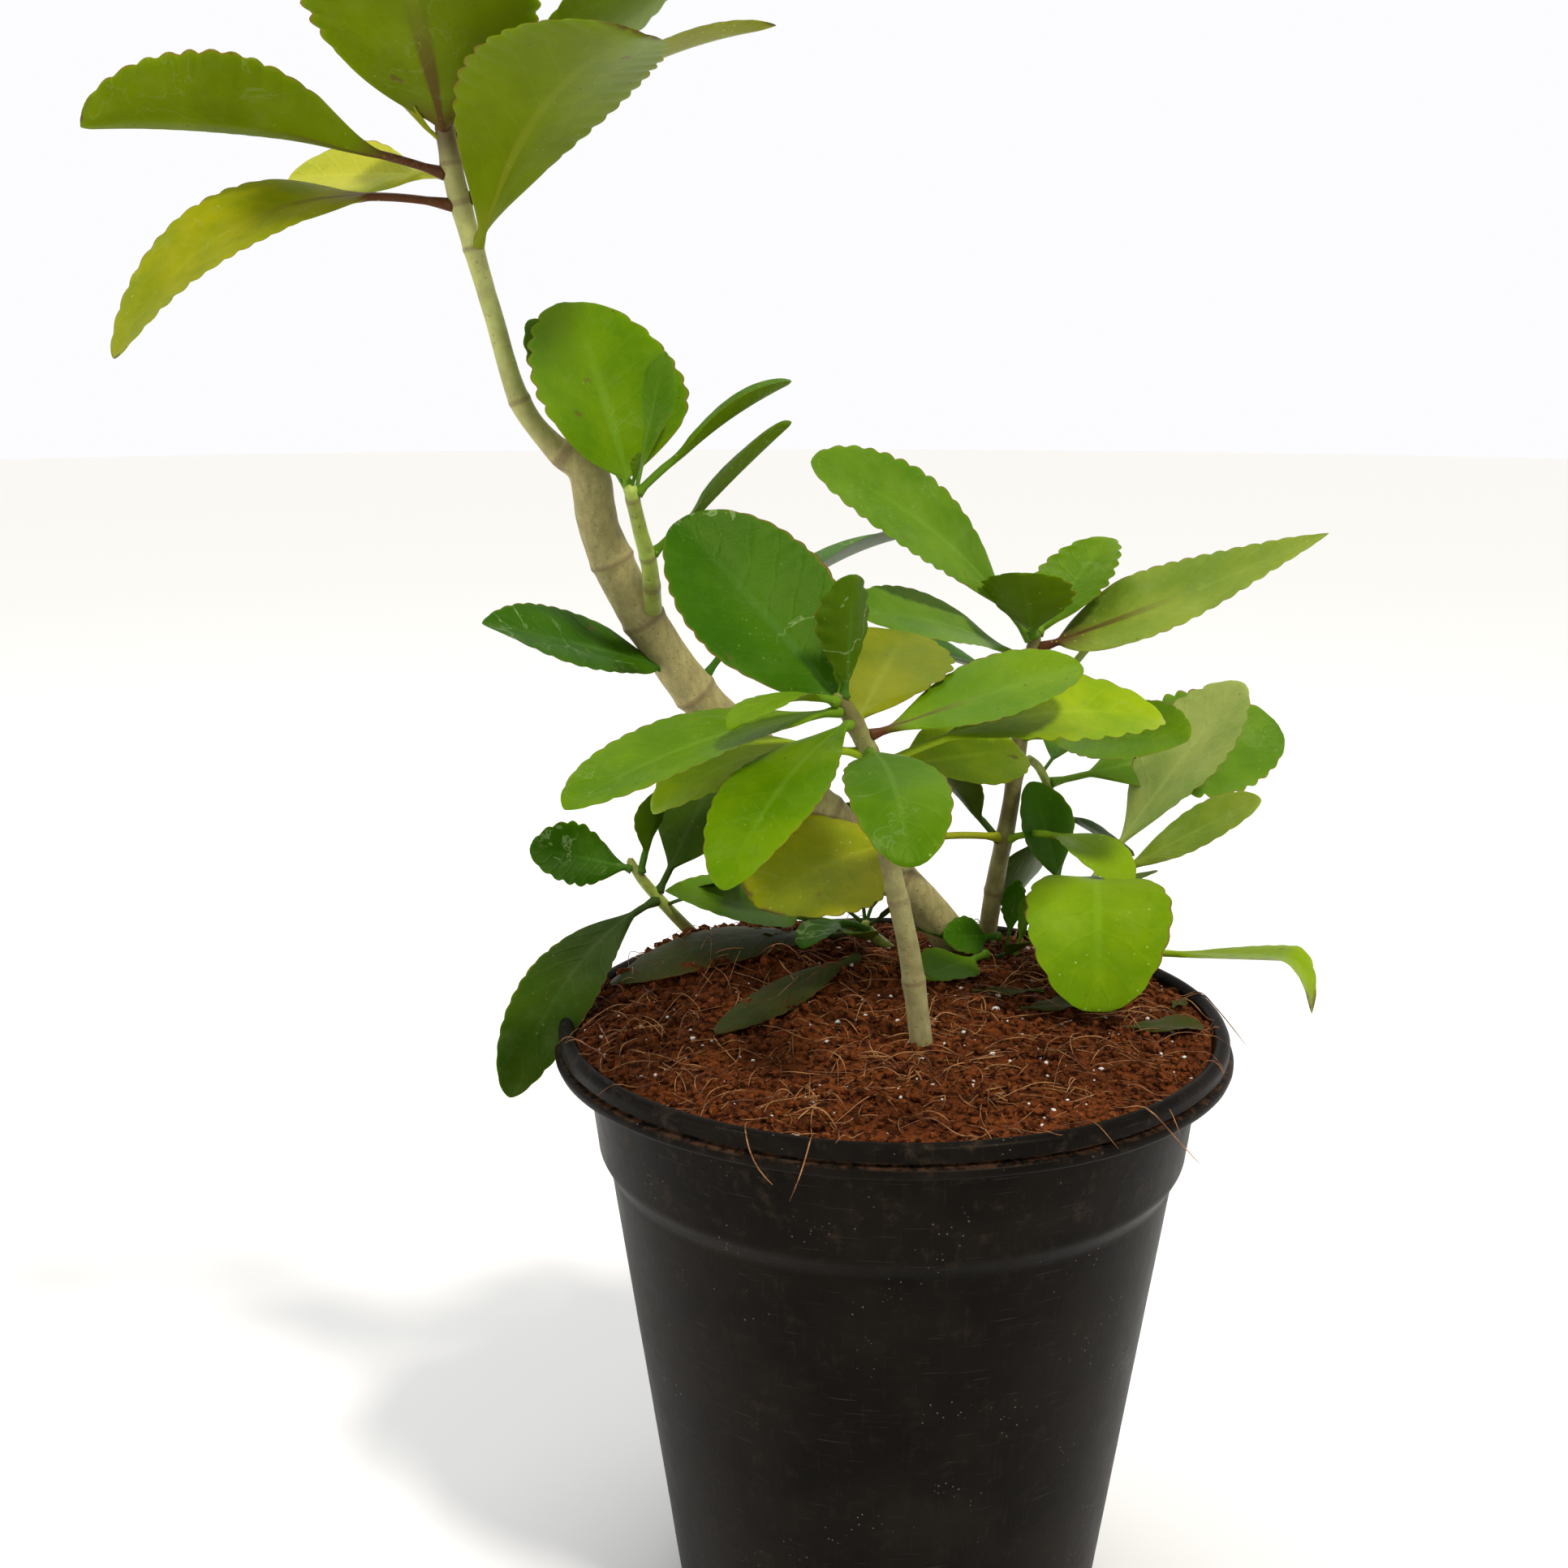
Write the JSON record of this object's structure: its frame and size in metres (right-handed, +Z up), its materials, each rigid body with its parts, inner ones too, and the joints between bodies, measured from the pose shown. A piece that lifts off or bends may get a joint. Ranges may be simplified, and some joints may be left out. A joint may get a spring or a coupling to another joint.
{
  "type": "potted kalanchoe plant",
  "caption": "Kalanchoe with toothed succulent leaves on branching stems, in coco-peat soil in a tapered round nursery pot with a flanged rolled rim.",
  "frame": {"origin": "centre of the underside of the pot, on the ground it stands on", "axes": "+Z up the pot's axis, +X to the right and -Y towards the front of the plant, where the tallest stem leans to -X"},
  "size_m": [0.3452, 0.2, 0.4874],
  "materials": {
    "black_plastic": "satin moulded black polypropylene, dusty and scuffed",
    "coco_peat": "loose reddish-brown coconut fibre and peat with white perlite grains",
    "woody_stem": "pale brown-green bark with leaf scars",
    "green_stem": "smooth waxy green and purple-tinged stem",
    "leaf_deep": "waxy deep green leaf, semi-gloss",
    "leaf_fresh": "waxy bright green leaf, semi-gloss",
    "leaf_yellow": "waxy yellow-green leaf, semi-gloss",
    "leaf_grey": "waxy grey-green leaf with a matt bloom"
  },
  "bodies": {
    "root": {"bent_leaf": "leaf_yellow", "big_leaf": "leaf_fresh", "bright_front_leaf": "leaf_fresh", "broad_leaf_right": "leaf_grey", "brown_edged_leaf": "leaf_yellow", "dark_leaf_back": "leaf_deep", "dark_leaf_middle": "leaf_deep", "disc_leaf": "leaf_yellow", "fallen_leaf_broad": "leaf_deep", "fallen_leaf_long": "leaf_deep", "front_stem": "woody_stem", "hanging_leaf": "leaf_fresh", "left_shoot": "green_stem", "left_shoot_inner": "leaf_deep", "left_shoot_leaf": "leaf_deep", "left_shoot_upright": "leaf_deep", "long_left_leaf": "leaf_fresh", "low_right_shoot": "green_stem", "main_stem": "woody_stem", "middle_shoot": "green_stem", "narrow_leaf_high": "leaf_deep", "narrow_leaf_low": "leaf_deep", "olive_leaf_low": "leaf_yellow", "olive_leaf_up": "leaf_yellow", "overhanging_leaf": "leaf_deep", "pale_leaf": "leaf_grey", "pointed_low_leaf": "leaf_grey", "pot": "black_plastic", "right_crown_left": "leaf_fresh", "right_crown_right": "leaf_grey", "right_crown_small": "leaf_fresh", "right_crown_young": "leaf_fresh", "right_leaf_low": "leaf_fresh", "right_leaf_top": "leaf_fresh", "right_stem": "woody_stem", "right_stem_left_leaf": "leaf_fresh", "rooted_leaf_lower": "leaf_deep", "rooted_leaf_upper": "leaf_deep", "round_leaf": "leaf_fresh", "scratched_leaf": "leaf_deep", "seedling": "green_stem", "seedling_leaf": "leaf_fresh", "shaded_leaf_left": "leaf_deep", "shaded_leaf_right": "leaf_deep", "side_twig": "green_stem", "small_round_leaf": "leaf_fresh", "soil": "coco_peat", "spotted_leaf": "leaf_grey", "top_leaf_back": "leaf_grey", "top_leaf_front": "leaf_yellow", "top_leaf_left": "leaf_yellow", "top_leaf_low_left": "leaf_yellow", "top_leaf_right": "leaf_yellow", "top_leaf_right_back": "leaf_fresh", "top_leaf_right_front": "leaf_yellow", "torn_leaf": "leaf_yellow", "upright_leaf": "leaf_fresh", "yellow_leaf_left": "leaf_yellow", "young_leaf": "leaf_fresh"}
  },
  "joints": []
}
